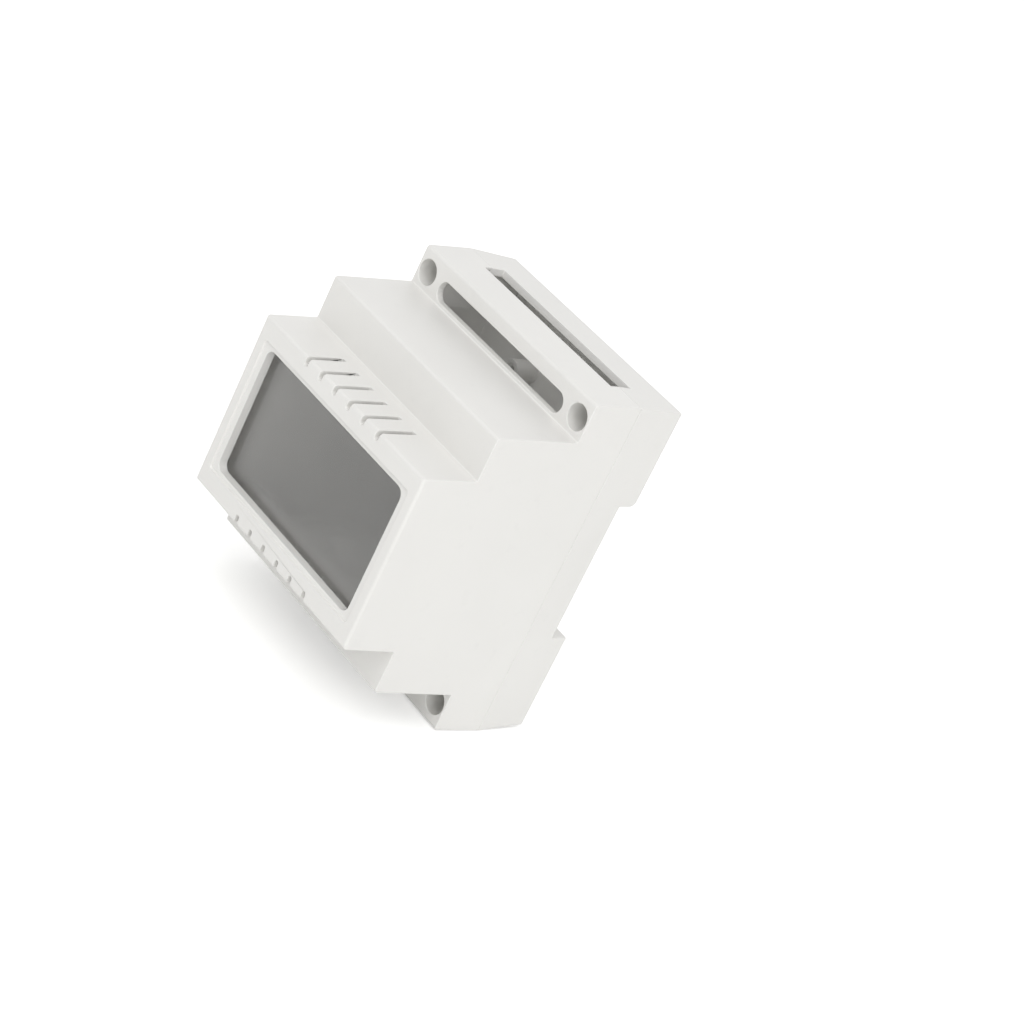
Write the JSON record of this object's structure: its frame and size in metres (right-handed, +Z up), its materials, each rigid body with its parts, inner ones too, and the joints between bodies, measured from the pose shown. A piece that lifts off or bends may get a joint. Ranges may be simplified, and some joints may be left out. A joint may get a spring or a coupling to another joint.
{
  "type": "din rail enclosure",
  "caption": "Stepped modular plastic enclosure that clips on a 35 mm rail, with a smoked window, vent slots, terminal openings and a sprung rail latch.",
  "frame": {"origin": "middle of the face that rests on the rail: half way along the width, at the rail's centre line", "axes": "+X along the rail to the right as seen from the front, +Y from the front face towards the rail and panel, +Z up"},
  "size_m": [0.07, 0.066, 0.09],
  "materials": {
    "housing_plastic": "fine moulded satin",
    "smoked_plate": "polished, translucent smoke grey",
    "zinc_steel": "bright zinc plated"
  },
  "bodies": {
    "housing": {"cover": "housing_plastic", "base": "housing_plastic", "window": "smoked_plate", "screw_upper_left": "zinc_steel", "screw_upper_right": "zinc_steel", "screw_lower_left": "zinc_steel", "screw_lower_right": "zinc_steel"},
    "latch": {"rail_latch": "housing_plastic"}
  },
  "joints": [
    {"name": "latch_slide", "type": "slide", "parent": "housing", "child": "latch", "axis": [0, 0, -1], "range_m": [0, 0.004], "stiffness_N_per_m": 2500, "springref_m": -0.0008}
  ]
}
